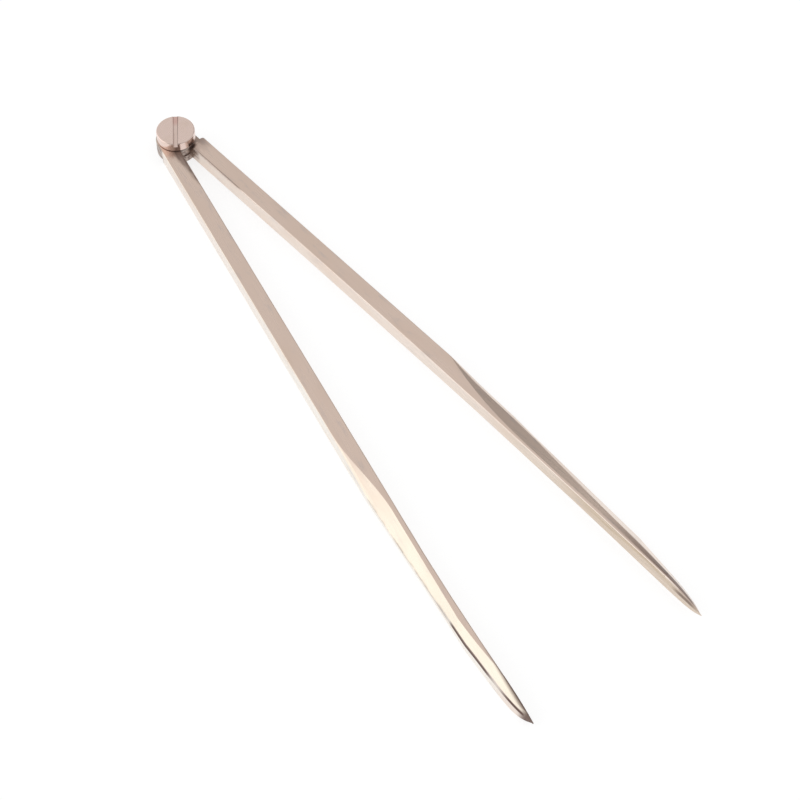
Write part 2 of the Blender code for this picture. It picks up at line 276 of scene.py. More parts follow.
# %% [markdown]
# ## The legs
#
# Each leg was filed by hand out of one square bar. It stays square to the middle, where a long
# bevel starts on its outer side, and it tapers from there to a ground point. The underside
# stays flat nearly to the end, so the instrument lies steady on a chart. The two legs weren't
# filed quite alike, so each one has its own numbers. A pair of numbers says how a size goes
# from where it starts to where it ends, or where a change starts and how long it is.

# %% What the file took off
TAPER_START = 131.0 * MM
TAPER_SLOPE = 0.045
GROUND_LENGTH = 25.0 * MM
GROUND_START = LEG_LENGTH - GROUND_LENGTH
GROUND_EASY = 0.57
GROUND_NOSE = 6.0
TOP_NOSE = 4.5
UNDERSIDE_NOSE = 9.0
RIDGE_CLOSE_START = 172.0 * MM
LOWER_BEVEL = 1.1 * MM
LOWER_BEVEL_END = 168.0 * MM
LOWER_BEVEL_RUNOUT = 12.0 * MM
LOWER_BEVEL_WIDTH = 1.4
WALL_LEAN = 0.5 * MM
WALL_LEAN_LENGTH = 20.0 * MM
RUNOUT_FULL = 0.72
INNER_EASE_START = 112.0 * MM
INNER_EASE_LENGTH = 25.0 * MM
INNER_BELOW_RISE = (90.0 * MM, 30.0 * MM)
INNER_BELOW_FALL = (162.0 * MM, 28.0 * MM)


@dataclass
class Filing:
    """What filing did to one leg. side is -1 for the left leg and 1 for the right one."""

    side: int
    lug_offset: float
    bend_start: float
    bend_power: float
    inner_below: float
    runout_start: float
    runout_length: float
    fullness: float
    ridge_first: float
    ridge_last: float
    ridge_close: float
    rim_start: float
    rim_length: float
    rim_width: tuple
    rim_height: tuple
    inner_width: float
    inner_drop: float


LEFT = Filing(side=-1, lug_offset=0.3 * MM,
              bend_start=150 * MM, bend_power=1.6, inner_below=0.22 * MM,
              runout_start=110 * MM, runout_length=28.4 * MM, fullness=2.0,
              ridge_first=2.3 * MM, ridge_last=2.25 * MM, ridge_close=15 * MM,
              rim_start=163 * MM, rim_length=9 * MM,
              rim_width=(0.04, 0.16), rim_height=(0.06, 0.30),
              inner_width=0.25 * MM, inner_drop=0.2 * MM)
RIGHT = Filing(side=1, lug_offset=0.0,
               bend_start=80 * MM, bend_power=1.5, inner_below=0.7 * MM,
               runout_start=108 * MM, runout_length=44.0 * MM, fullness=-1.0,
               ridge_first=1.25 * MM, ridge_last=0.6 * MM, ridge_close=27 * MM,
               rim_start=142 * MM, rim_length=36 * MM,
               rim_width=(0.16, 0.62), rim_height=(0.25, 0.72),
               inner_width=0.24 * MM, inner_drop=0.2 * MM)
for word, filing in (("left", LEFT), ("right", RIGHT)):
    print(word, "bevel starts", round(filing.runout_start / MM), "mm from the hinge and is full",
          round(filing.runout_length / MM), "mm further on")

# %% [markdown]
# The cross-section of a leg has ten corners. From the inner side over the top they are the
# broken inner edge, the flat top, the long bevel, a narrow rim where the file rolled over, and
# the outer wall. The corner in the middle of that wall only helps to shade it. Below come a
# short bevel that is out of sight, the underside, and a small bevel on the inner side, which
# is the wider one on the right leg. A formula gives the corners at any distance u, because
# every line on the leg runs smoothly from the hinge to the point.

# %% The cross-section
TIP_THICKNESS = 0.26 * MM
TIP_WIDTH = 0.2 * MM
FLAT_LEFT_AT_POINT = 1.5
LEAST_FLAT = 1.2
CORNERS = 10


def share(value, start, length):
    """How far value lies from start to start + length, from 0 to 1."""
    return min(max((value - start) / length, 0.0), 1.0)


def taper_line(u):
    return LUG_RADIUS - TAPER_SLOPE * max(u - TAPER_START, 0.0)


def outer_line(u):
    """The outermost line: the long taper, which the ground point brings in to the tip."""
    ground = share(u, GROUND_START, GROUND_LENGTH)
    curve = GROUND_EASY * ground + (1 - GROUND_EASY) * ground ** GROUND_NOSE
    return taper_line(u) - (taper_line(LEG_LENGTH) + POINT_OFFSET) * curve


def inner_face(u, filing):
    bend = share(u, filing.bend_start, LEG_LENGTH - filing.bend_start)
    return INNER_OFFSET - (INNER_OFFSET + POINT_OFFSET) * bend ** filing.bend_power


def section(u, filing):
    """The corners (v, z) at u, from the inner top edge over the top and back below."""
    ground = share(u, GROUND_START, GROUND_LENGTH)
    tip = TIP_THICKNESS / BAR_THICKNESS
    keep_top = max(1 - ground ** TOP_NOSE, tip)
    keep_below = max(1 - ground ** UNDERSIDE_NOSE, tip)
    along = share(u, filing.runout_start, filing.runout_length)
    square = (1 - along) ** 2 * (1 + filing.fullness * along)
    ease = share(u, INNER_EASE_START, INNER_EASE_LENGTH)
    rim = share(u, filing.rim_start, filing.rim_length)

    inner = inner_face(u, filing)
    outer = max(outer_line(u), inner + TIP_WIDTH)
    width = outer - inner
    top = HALF_THICKNESS * keep_top
    underside = -HALF_THICKNESS * keep_below

    inner_width = min(EDGE_BREAK + (filing.inner_width - EDGE_BREAK) * ease, width / 5)
    inner_drop = (EDGE_BREAK + (filing.inner_drop - EDGE_BREAK) * ease) * keep_top
    ridge = filing.ridge_first + (filing.ridge_last - filing.ridge_first) * share(
        u, filing.runout_start, GROUND_START - filing.runout_start)
    ridge += (taper_line(u) - EDGE_BREAK - ridge) * square
    closing = share(u, RIDGE_CLOSE_START, filing.ridge_close)
    ridge += (inner + FLAT_LEFT_AT_POINT * inner_width - ridge) * closing
    if ground > 0:
        ridge = min(ridge, outer - width / 3)
    ridge = max(ridge, inner + LEAST_FLAT * inner_width)

    crease = (HALF_THICKNESS - EDGE_BREAK) * square * keep_top
    rim_width, rim_height = (first + (last - first) * rim for first, last in
                             (filing.rim_width, filing.rim_height))
    rim_width += (0.5 - rim_width) * square
    rim_height += (RUNOUT_FULL - rim_height) * square
    brow = (outer - (outer - ridge) * rim_width, crease + (top - crease) * rim_height)

    below = LOWER_BEVEL * (1 - square) * (1 - share(u, LOWER_BEVEL_END, LOWER_BEVEL_RUNOUT))
    below = max(below, EDGE_BREAK * keep_below)
    lean = WALL_LEAN * share(u, GROUND_START, WALL_LEAN_LENGTH) * keep_below
    inner_below = share(u, *INNER_BELOW_RISE) * (1 - share(u, *INNER_BELOW_FALL))
    inner_below = (EDGE_BREAK + (filing.inner_below - EDGE_BREAK) * inner_below) * keep_below

    upper = [(inner, top - inner_drop), (inner + inner_width, top), (ridge, top),
             brow, (outer, crease)]
    lower = [(outer + lean, underside + below),
             (outer + lean - LOWER_BEVEL_WIDTH * min(below, width / 4), underside),
             (inner + min(inner_below, width / 5), underside),
             (inner, underside + inner_below)]
    middle = [(outer + lean / 2, (crease + underside + below) / 2)]
    return [(v, HALF_THICKNESS + z) for v, z in upper + middle + lower]


for distance in (160, 190):
    print("left leg at", distance, "mm:",
          [(round(v / MM, 2), round(z / MM, 2)) for v, z in section(distance * MM, LEFT)])

# %% [markdown]
# The bar is drawn out of one ten-sided face. Each extrude makes the next stretch, and the
# new corners are moved to where the formula puts them. A whole-number layer on the vertices
# remembers which corner each one is, and an extrude copies it to the new vertices. The face
# that was extruded is left inside the bar, so it is deleted, or it would spoil the shading.
# At the end the long edges get a small round bevel, because no filed edge is perfectly sharp.
# The two edges at the top on the inner side are rounder, where fingers and cloth rubbed them
# most.

# %% Draw out the bar
FIRST_RING = 25.0 * MM
STATION_STEP = 1.5 * MM
POINT_STEP = 0.6 * MM
EDGE_ROUND = 0.06 * MM
INNER_EDGE_ROUND = 0.12 * MM
INNER_EDGES = (0, 1)
OTHER_EDGES = (2, 3, 4, 6, 7, 8, 9)
ROUNDED_TO = 190.0 * MM
WAVER = 0.035 * MM
WAVER_LENGTH = 9.0 * MM
WAVER_BETWEEN_CORNERS = 3.7
WAVER_BETWEEN_LEGS = 5.1
STEADY_END = 10 * MM


def stations():
    """Places along the leg where the bar gets a new ring of corners."""
    places = [FIRST_RING]
    while places[-1] < GROUND_START:
        places.append(places[-1] + STATION_STEP)
    while places[-1] + POINT_STEP < LEG_LENGTH:
        places.append(places[-1] + POINT_STEP)
    return places + [LEG_LENGTH]


def waver(u, corner, filing):
    """The unsteady hand of the filer: a line strays a little, and less so close to the point."""
    if u < filing.runout_start:
        return 0.0
    stray = noise.noise(Vector((u / WAVER_LENGTH, corner * WAVER_BETWEEN_CORNERS,
                                filing.side * WAVER_BETWEEN_LEGS)))
    return WAVER * stray * share(LEG_LENGTH, u, STEADY_END)


def bar_body(filing):
    bm = bmesh.new()
    bmesh.ops.create_circle(bm, cap_ends=True, segments=CORNERS, radius=1.0)
    corner_layer = bm.verts.layers.int.new("corner")
    end = bm.faces[:][0]
    for number, vert in enumerate(end.verts):
        vert[corner_layer] = number

    def place_end(u):
        corners = section(u, filing)
        for vert in end.verts:
            v, z = corners[vert[corner_layer]]
            vert.co = (filing.side * (v + waver(u, vert[corner_layer], filing)), -u, z)

    place_end(0.0)
    start = end
    for u in stations():
        grown = bmesh.ops.extrude_face_region(bm, geom=[end])["geom"]
        if end is not start:
            bmesh.ops.delete(bm, geom=[end], context="FACES_ONLY")
        end = next(item for item in grown if isinstance(item, bmesh.types.BMFace))
        place_end(u)

    for corners, radius in ((INNER_EDGES, INNER_EDGE_ROUND), (OTHER_EDGES, EDGE_ROUND)):
        long_edges = [edge for edge in bm.edges
                      if edge.verts[0][corner_layer] == edge.verts[1][corner_layer]
                      and edge.verts[0][corner_layer] in corners
                      and abs(edge.verts[0].co.y - edge.verts[1].co.y) > POINT_STEP / 2
                      and -min(vert.co.y for vert in edge.verts) < ROUNDED_TO]
        bmesh.ops.bevel(bm, geom=long_edges, offset=radius, offset_type="OFFSET", segments=3,
                        profile=0.5, affect="EDGES", clamp_overlap=False, material=-1)
    bmesh.ops.recalc_face_normals(bm, faces=bm.faces)
    return bm


print("rings of corners along a leg:", len(stations()))

# %% [markdown]
# Round pieces are turned, as on a lathe: half of the outline is a row of vertices, some of
# its corners are rounded with a vertex bevel, and a spin of a full turn makes the solid. The
# vertices on the axis come out many times over, so doubles are merged and the normals set
# outwards after that.

# %% Turn a round piece
ROUND_STEPS = 96
SAME_PLACE = 0.0005 * MM


def spun(bm):
    """Spins what the bmesh holds one full turn about Z."""
    bmesh.ops.spin(bm, geom=bm.verts[:] + bm.edges[:], cent=(0, 0, 0), axis=(0, 0, 1),
                   angle=2 * math.pi, steps=ROUND_STEPS, use_merge=True)
    bmesh.ops.remove_doubles(bm, verts=bm.verts, dist=SAME_PLACE)
    bmesh.ops.recalc_face_normals(bm, faces=bm.faces)
    return bm


def turned(profile, rounding):
    """A solid of revolution about Z. profile is (radius, height) points from Z back to Z, and
    rounding gives the radius of the round on some of them by their number."""
    bm = bmesh.new()
    verts = [bm.verts.new((radius, 0.0, height)) for radius, height in profile]
    for pair in zip(verts, verts[1:]):
        bm.edges.new(pair)
    for number, radius in rounding.items():
        bmesh.ops.bevel(bm, geom=[verts[number]], offset=radius, offset_type="OFFSET", segments=4,
                        profile=0.5, affect="VERTICES", clamp_overlap=False, material=-1)
    return spun(bm)


def rod(radius, low, high):
    """A plain round rod round the hinge's axis."""
    return turned([(0, low), (radius, low), (radius, high), (0, high)], {})


print("a full turn takes", ROUND_STEPS, "steps")

# %% [markdown]
# Cutting and joining of solids is done with Boolean modifiers, the same as sawing a lap out
# of the bar. The tool that cuts is only needed for a moment: the result is kept as a plain
# mesh and the tool is thrown away, so that nothing but the finished piece is left.

# %% Carve one solid with another
CUT_SOLVER = "EXACT"


def solid(name, bm):
    mesh = bpy.data.meshes.new(name)
    bm.to_mesh(mesh)
    bm.free()
    thing = bpy.data.objects.new(name, mesh)
    bpy.context.collection.objects.link(thing)
    return thing


def carve(piece, tool, operation="DIFFERENCE"):
    """Cuts the tool out of the piece, or joins it on with UNION."""
    modifier = piece.modifiers.new("carve", "BOOLEAN")
    modifier.operation = operation
    modifier.solver = CUT_SOLVER
    modifier.object = tool
    depsgraph = bpy.context.evaluated_depsgraph_get()
    carved = bpy.data.meshes.new_from_object(piece.evaluated_get(depsgraph))
    piece.modifiers.remove(modifier)
    piece.data = carved
    carved.name = piece.name
    bpy.data.objects.remove(tool, do_unlink=True)


def block(low, high):
    """A rectangular block between two opposite corners."""
    bm = bmesh.new()
    low, high = Vector(low), Vector(high)
    bmesh.ops.create_cube(bm, size=1.0)
    bmesh.ops.scale(bm, vec=high - low, verts=bm.verts)
    bmesh.ops.translate(bm, vec=(low + high) / 2, verts=bm.verts)
    return bm


print("cuts are made with the", CUT_SOLVER, "solver")

# %% [markdown]
# The hinge end of each leg is a round lug of half the bar's thickness. It is made in the
# order that a workshop would use: a full round disc is joined to the bar, and then the lap is
# cut away on a lathe, which leaves a hollow round shoulder that clears the other leg's lug.
# The cutter flares at its rim, so it breaks the shoulder's sharp edge in the same cut.

# %% The lugs and their laps
SHOULDER_CLEARANCE = 0.74 * MM
SEAT_RADIUS = LUG_RADIUS + SHOULDER_CLEARANCE
LAP_GAP = 0.08 * MM
LOWER_LUG_TOP = HALF_THICKNESS - LAP_GAP / 2
UPPER_LUG_BOTTOM = HALF_THICKNESS + LAP_GAP / 2
SEAT_EDGE = 0.12 * MM
HORN_END = 4.9 * MM
HORN_RADIUS = 0.9 * MM
BORE_RADIUS = 2.9 * MM
TAPPED_RADIUS = 2.3 * MM
BEYOND = 2.0 * MM


def disc(filing):
    """The round end of a leg before its lap is cut, with broken and rounded rims."""
    radius = LUG_RADIUS - filing.lug_offset
    profile = [(0, 0), (radius - EDGE_BREAK, 0), (radius, EDGE_BREAK),
               (radius, BAR_THICKNESS - EDGE_BREAK), (radius - EDGE_BREAK, BAR_THICKNESS),
               (0, BAR_THICKNESS)]
    bm = turned(profile, {number: EDGE_ROUND for number in (1, 2, 3, 4)})
    bmesh.ops.translate(bm, vec=(filing.side * filing.lug_offset, 0, 0), verts=bm.verts)
    return bm


def lap_tool(floor, rim):
    """A round cutter from the lap's floor out through the bar, flared where it leaves it."""
    outward = 1 if rim > floor else -1
    profile = [(0, floor), (SEAT_RADIUS, floor), (SEAT_RADIUS, rim - outward * SEAT_EDGE),
               (SEAT_RADIUS + SEAT_EDGE + BEYOND, rim + outward * BEYOND),
               (0, rim + outward * BEYOND)]
    return turned(profile, {})


def lapped_leg(name, filing, lap_floor, lap_rim, hole_radius):
    """A leg with its lug, its lap and the hole for the screw."""
    leg = solid(name, bar_body(filing))
    carve(leg, solid("disc", disc(filing)), "UNION")
    carve(leg, solid("lap", lap_tool(lap_floor, lap_rim)))
    carve(leg, solid("bore", rod(hole_radius, -BEYOND, BAR_THICKNESS + BEYOND)))
    return leg


left_leg = lapped_leg("left_leg_filed", LEFT, UPPER_LUG_BOTTOM, 0.0, BORE_RADIUS)
right_leg = lapped_leg("right_leg_filed", RIGHT, LOWER_LUG_TOP, BAR_THICKNESS, TAPPED_RADIUS)
print("left leg:", len(left_leg.data.polygons), "faces, right leg:", len(right_leg.data.polygons))

# %% [markdown]
# The right leg's shoulder had a thin horn left on its outer side, which was filed off square
# and then rounded. Two cuts do the same here: a block takes the horn away, and a second block
# with a round hole through it leaves the corner with the hole's curve. The washer's seat is a
# shallow round recess under the left leg's lug.

# %% The filed horn and the washer's recess
round_x = LUG_RADIUS - HORN_RADIUS
round_y = -HORN_END - HORN_RADIUS
horn_tool = block((round_x - BEYOND, -HORN_END, LOWER_LUG_TOP),
                  (LUG_RADIUS + BEYOND, BEYOND, BAR_THICKNESS + BEYOND))
carve(right_leg, solid("horn", horn_tool))

corner_block = solid("corner block", block(
    (round_x, round_y, LOWER_LUG_TOP),
    (LUG_RADIUS + BEYOND, -HORN_END + BEYOND, BAR_THICKNESS + BEYOND)))
round_hole = rod(HORN_RADIUS, 0, 2 * BAR_THICKNESS)
bmesh.ops.translate(round_hole, vec=(round_x, round_y, 0), verts=round_hole.verts)
carve(corner_block, solid("round hole", round_hole))
carve(right_leg, corner_block)

WASHER_CLEARANCE = 0.12 * MM
washer_radius = (washer_high[0] - washer_low[0]) / 2
WASHER_THICKNESS = washer_high[2] - washer_low[2]
washer_bottom = LOWER_LUG_TOP + LAP_GAP / 2
recess_top = washer_bottom + WASHER_THICKNESS + WASHER_CLEARANCE
carve(left_leg, solid("recess", rod(washer_radius + WASHER_CLEARANCE, 0, recess_top)))
print("recess to", round(recess_top / MM, 2), "mm")

# %% [markdown]
# Both legs were made straight. They are now turned about the hinge to where they lie, and
# their shading is set: edges that turn sharply stay sharp, and the Weighted Normal modifier
# keeps the large flats flat although their edges are rounded.

# %% Open the legs
SHARP_ANGLE = math.radians(32)


def set_shading(piece):
    piece.data.shade_smooth()
    piece.data.set_sharp_from_angle(angle=SHARP_ANGLE)
    modifier = piece.modifiers.new("flat faces stay flat", "WEIGHTED_NORMAL")
    modifier.mode = "FACE_AREA"
    modifier.keep_sharp = True


for leg, filing in ((left_leg, LEFT), (right_leg, RIGHT)):
    leg.data.transform(Matrix.Rotation(filing.side * REST_OPENING / 2, 4, "Z"))
    set_shading(leg)
print("legs open by", round(math.degrees(REST_OPENING), 1), "degrees")

# %% [markdown]
# ## The screw and the washer
#
# The screw is turned from the same metal as the legs: a wide flat head, a plain shoulder that
# the upper lug turns on, and a short thread that holds in the lower lug. The thread is turned
# as rings, which look the same at this size. The slot is cut last, with a saw that ran a
# little deeper on one side.

# %% Turn the screw
HEAD_BOTTOM = BAR_THICKNESS + 0.09 * MM
HEAD_RIM = 0.22 * MM
HEAD_ROUND = 0.1 * MM
HEAD_UNDERCUT = 0.12 * MM
SHOULDER_RADIUS = 2.75 * MM
THREAD_RADIUS = 2.0 * MM
THREAD_DEPTH = 0.4 * MM
THREAD_PITCH = 0.5 * MM
THREAD_START = 0.3 * MM

profile = [(0, 0), (THREAD_RADIUS - THREAD_DEPTH, 0)]
z = THREAD_START
while z + THREAD_PITCH < LOWER_LUG_TOP:
    profile += [(THREAD_RADIUS, z), (THREAD_RADIUS - THREAD_DEPTH, z + THREAD_PITCH / 2)]
    z += THREAD_PITCH
shoulder_bottom = LOWER_LUG_TOP + LAP_GAP / 2
profile += [(THREAD_RADIUS - THREAD_DEPTH, shoulder_bottom),
            (SHOULDER_RADIUS, shoulder_bottom),
            (SHOULDER_RADIUS, HEAD_BOTTOM),
            (HEAD_RADIUS - HEAD_UNDERCUT, HEAD_BOTTOM),
            (HEAD_RADIUS, HEAD_BOTTOM + HEAD_UNDERCUT),
            (HEAD_RADIUS, HEAD_TOP - HEAD_RIM),
            (HEAD_RADIUS - HEAD_RIM, HEAD_TOP),
            (0, HEAD_TOP)]
upper_rim = len(profile) - 3
screw = solid("pivot_screw_turned",
              turned(profile, {upper_rim: HEAD_ROUND, upper_rim + 1: HEAD_ROUND}))

SLOT_WIDTH = 1.2 * MM
SLOT_DEPTH = 0.8 * MM
SLOT_SLANT = math.radians(4.7)
SLOT_TURN = math.radians(-30.9)

reach = HEAD_RADIUS + BEYOND
slot = block((-SLOT_WIDTH / 2, -reach, 0), (SLOT_WIDTH / 2, reach, BEYOND))
slot_place = (Matrix.Translation((0, 0, HEAD_TOP - SLOT_DEPTH))
              @ Matrix.Rotation(SLOT_TURN, 4, "Z") @ Matrix.Rotation(SLOT_SLANT, 4, "X"))
bmesh.ops.transform(slot, matrix=slot_place, verts=slot.verts)
carve(screw, solid("saw", slot))
set_shading(screw)
print("screw:", len(screw.data.polygons), "faces")

# %% [markdown]
# The washer between the lugs carries the rubbing. It is a plain bronze ring with broken
# edges, so its square section is spun once round the hinge.

# %% Turn the washer
WASHER_BORE = 2.9 * MM
WASHER_EDGE = 0.06 * MM

bm = bmesh.new()
corners = [(WASHER_BORE, washer_bottom), (washer_radius, washer_bottom),
           (washer_radius, washer_bottom + WASHER_THICKNESS),
           (WASHER_BORE, washer_bottom + WASHER_THICKNESS)]
ring = [bm.verts.new((radius, 0, z)) for radius, z in corners]
for first, second in zip(ring, ring[1:] + ring[:1]):
    bm.edges.new((first, second))
bmesh.ops.bevel(bm, geom=ring, offset=WASHER_EDGE, offset_type="OFFSET", segments=2,
                profile=0.5, affect="VERTICES", clamp_overlap=False, material=-1)
washer = solid("lap_washer_turned", spun(bm))
set_shading(washer)
print("washer:", round(washer_radius * 2 / MM, 1), "mm across")

# %% [markdown]
# ## The finish
#
# Nickel silver is a pale copper alloy. It is warm and a little pink where it has dulled, and
# nearly white where it is rubbed bright. The finish is built up in layers: the bare metal with
# slow changes of colour, the fine grain that emery left along the leg, and dark brown marks
# that are partly tarnish and partly painted shade. One function joins those layers to the
# shader, for legs and screw alike.

# %% Nickel silver
TOP_METAL = (0.845, 0.67, 0.57, 1.0)
SIDE_METAL = (0.87, 0.765, 0.69, 1.0)
TABLE_REFLECTION_METAL = (0.93, 0.885, 0.82, 1.0)
CREAM_METAL = (0.87, 0.785, 0.66, 1.0)
BEVEL_METAL = (0.90, 0.72, 0.59, 1.0)
SHADED_TABLE_REFLECTION_METAL = (0.58, 0.46, 0.33, 1.0)
DULL_METAL = (0.82, 0.64, 0.52, 1.0)
BLUE_GREY = (0.50, 0.48, 0.50, 1.0)
# A dark brown that is laid on both for tarnish and for painted shade.
TARNISH_AND_SHADE = (0.16, 0.10, 0.085, 1.0)
TARNISH_AND_SHADE_ROUGHNESS = 0.25
GRAIN_DEPTH = 0.012 * MM


def metal(name):
    material = bpy.data.materials.new(name)
    material.use_nodes = True
    shader = material.node_tree.nodes["Principled BSDF"]
    shader.inputs["Metallic"].default_value = 1.0
    return material, shader, Bench(material.node_tree)


def finish_metal(bench, shader, colour, tarnish_and_shade, roughness, height, strength):
    """Lays tarnish and painted shade on the bare metal; links colour, roughness, grain to the
    shader.
    """
    blotched = bench.blend(tarnish_and_shade, colour, TARNISH_AND_SHADE)
    rough = bench.plus(roughness, bench.product(tarnish_and_shade, TARNISH_AND_SHADE_ROUGHNESS))
    bump = bench.add("Bump", {"Height": height, "Strength": strength, "Distance": GRAIN_DEPTH})
    for socket, name in ((blotched, "Base Color"), (rough, "Roughness"),
                         (bump.outputs["Normal"], "Normal")):
        bench.tree.links.new(socket, shader.inputs[name])


print("tarnish is", round(TARNISH_AND_SHADE[0] / TOP_METAL[0], 2), "times as bright as the top")

# %% [markdown]
# A finish has to know where on the leg it is. Object coordinates are turned back, so that one
# axis runs along the leg, and are counted in millimetres. The surface's normal is turned the
# same way and says which face of the bar this is: the top, the outer side or the inner one.
# All the numbers in the masks below are millimetres, or shares from 0 to 1.

# %% Where a spot lies on a leg
BAR_MIDDLE = HALF_THICKNESS / MM


def in_millimetres(bench, turn=0.0):
    """Object coordinates, turned about the hinge and counted in millimetres."""
    coordinates = bench.add("TexCoord", {}).outputs["Object"]
    return bench.add("Mapping", {"Vector": coordinates, "Rotation": (0, 0, turn),
                                 "Scale": (1 / MM, 1 / MM, 1 / MM)}).outputs["Vector"]


class LegPlace:
    """Where a spot lies on a leg, and which way its surface faces."""

    def __init__(self, bench, filing):
        turn = -filing.side * REST_OPENING / 2
        self.place = in_millimetres(bench, turn)
        parts = bench.parts(self.place)
        self.along = bench.product(parts["Y"], -1.0)
        self.across = bench.product(parts["X"], float(filing.side))
        self.height = parts["Z"]
        normal = bench.add("Mapping", {"Vector": bench.add("TexCoord", {}).outputs["Normal"],
                                       "Rotation": (0, 0, turn)}, vector_type="NORMAL")
        facing = bench.parts(normal.outputs["Vector"])
        self.outwards = bench.product(facing["X"], float(filing.side))
        self.on_top = bench.rise(facing["Z"], 0.75, 0.97)
        self.on_side = bench.rise(self.on_top, 0.2, 0.8, 1.0, 0.0)


print("middle of the bar at", round(BAR_MIDDLE, 2), "mm")

# %% [markdown]
# The bare metal isn't of one colour. The tops are warmer than the sides. The left leg's outer
# wall is painted paler towards the point, a painted reflection of the bright table beside it,
# and its bevel is cream. The right leg's inner wall is painted brown in streaks, a painted
# reflection of the shaded table between the legs, and its bevel is warmer. Clouds of dull metal
# and small blue-grey spots lie over all of it. The grain is noise that is stretched along the
# leg, so the metal looks drawn over emery and not sanded at random.

# %% Bare metal of the legs, with painted reflections on their walls
def left_side_colour(bench, leg):
    # The outer wall is painted paler towards the point, a painted reflection of the bright white
    # table beside the leg.
    table_reflection = bench.product(bench.rise(leg.outwards, 0.84, 0.95),
                         bench.rise(leg.along, 20.0, 120.0, 0.2, 1.0),
                         bench.rise(leg.along, 185.0, 197.0, 1.0, 0.0))
    colour = bench.blend(table_reflection, SIDE_METAL, TABLE_REFLECTION_METAL)
    return bench.blend(bench.hump(leg.outwards, 0.45, 0.80, 0.05), colour, CREAM_METAL)


def right_side_colour(bench, leg, grain):
    # The inner wall is painted brown in streaks, a painted reflection of the shaded table between
    # the legs.
    shaded_reflection = bench.plus(bench.rise(leg.along, 95.0, 175.0, 0.04, 0.55),
                      bench.product(bench.rise(leg.along, 145.0, 180.0),
                                    bench.rise(leg.height, 1.5, 4.2, 0.0, 0.35)))
    streaks = bench.rise(grain, 0.35, 0.65, 0.72, 1.28)
    shaded_reflection = bench.product(shaded_reflection, bench.rise(leg.outwards, -0.9, -0.7, 1.0, 0.0), streaks)
    colour = bench.blend(shaded_reflection, SIDE_METAL, SHADED_TABLE_REFLECTION_METAL)
    return bench.blend(bench.hump(leg.outwards, 0.2, 0.56, 0.05), colour, BEVEL_METAL)


def bare_metal(bench, leg, filing):
    """Colour, roughness, grain and spots of a leg without its tarnish."""
    clouds = bench.noise(bench.stretched(leg.place, (0.16, 0.05, 0.16)), 1.0, detail=3.0)
    spots = bench.noise(bench.stretched(leg.place, (0.7, 0.16, 0.7)), 1.0,
                        detail=5.0, roughness=0.65)
    grain = bench.noise(bench.stretched(leg.place, (2.6, 0.04, 2.6)), 1.0,
                        detail=3.0, roughness=0.55)
    side_colour = (left_side_colour(bench, leg) if filing is LEFT
                   else right_side_colour(bench, leg, grain))
    colour = bench.blend(leg.on_top, side_colour, TOP_METAL)
    colour = bench.blend(bench.rise(clouds, 0.45, 0.8, 0.0, 0.45), colour, DULL_METAL)
    colour = bench.blend(bench.rise(spots, 0.52, 0.78, 0.0, 0.35), colour, BLUE_GREY)
    roughness = bench.plus(bench.rise(grain, 0.3, 0.7, 0.26, 0.34),
                           bench.rise(clouds, 0.3, 0.7, -0.03, 0.03))
    return colour, roughness, grain, spots


print("side metal reflects", [round(100 * part) for part in SIDE_METAL[:3]], "percent")

# %% [markdown]
# Tarnish and painted shade are laid on with masks. A mask is a number from 0 to 1 that is 1 on
# a dark spot: products of soft steps cut out a region, and noise makes its edge ragged. Both legs
# have brown, mottled rims on their lugs, partly tarnish and partly painted shade under the head,
# and thin dark lines along some edges. The left leg's top has a darker brown corner in the
# crotch, where it runs under the head.

# %% Tarnish and painted shade round the hinge
LUG_MOTTLE = (0.36, 0.56, 0.9, 0.5)
CROTCH_LIMIT = (4.0, 25.0, 3.2, 1.0)
CROTCH_MOTTLE = (0.3, 0.65, 0.85, 0.50)
CROTCH_RAGGED = 1.6


def lug_tarnish_and_shade(bench, leg, spots):
    """Dark, mottled lug rims in the crotch and behind the hinge: tarnish and painted shade."""
    radius = bench.radius(leg.along, leg.across)
    near = bench.product(bench.rise(radius, 6.1, 7.0, 1.0, 0.0), bench.rise(radius, 4.6, 5.2))
    return bench.product(leg.on_side, near, bench.rise(spots, *LUG_MOTTLE))


def crotch_darkening(bench, leg, spots):
    """The brown corner on the left leg's top that narrows away from the hinge."""
    limit = bench.rise(leg.along, *CROTCH_LIMIT)
    stray = bench.product(bench.minus(spots, 0.5), CROTCH_RAGGED)
    inside = bench.rise(bench.minus(limit, bench.plus(leg.across, stray)), -0.5, 0.7)
    return bench.product(inside, bench.hump(leg.along, 1.0, 19.0, 3.5), leg.on_top,
                         bench.rise(spots, *CROTCH_MOTTLE))


def edge_line(bench, leg, line, width, first, last, strength):
    """A thin dark line along a leg, around the across place named line."""
    nearness = bench.rise(bench.away(leg.across, line), 0.0, width, 1.0, 0.0)
    return bench.product(nearness, bench.hump(leg.along, first, last, 1.5), strength)


print("crotch tarnish narrows from", CROTCH_LIMIT[2], "to", CROTCH_LIMIT[3], "mm")

# %% [markdown]
# Where tarnish and painted shade follow the filing, the shader needs the same lines as the bar:
# the inner face and the outermost line. Their formulas are laid out once more in nodes, from the
# same values, so a change to the bar moves the dark marks with it.

# %% The bar's lines in the shader
def inner_line(bench, leg, filing):
    """The leg's inner face, by the same formula as inner_face."""
    bend = bench.add("MapRange", {"Value": leg.along, "From Min": filing.bend_start / MM,
                                  "From Max": LEG_LENGTH / MM}).outputs["Result"]
    bent = bench.product(bench.maths("POWER", bend, filing.bend_power),
                         (INNER_OFFSET + POINT_OFFSET) / MM)
    return bench.minus(INNER_OFFSET / MM, bent)


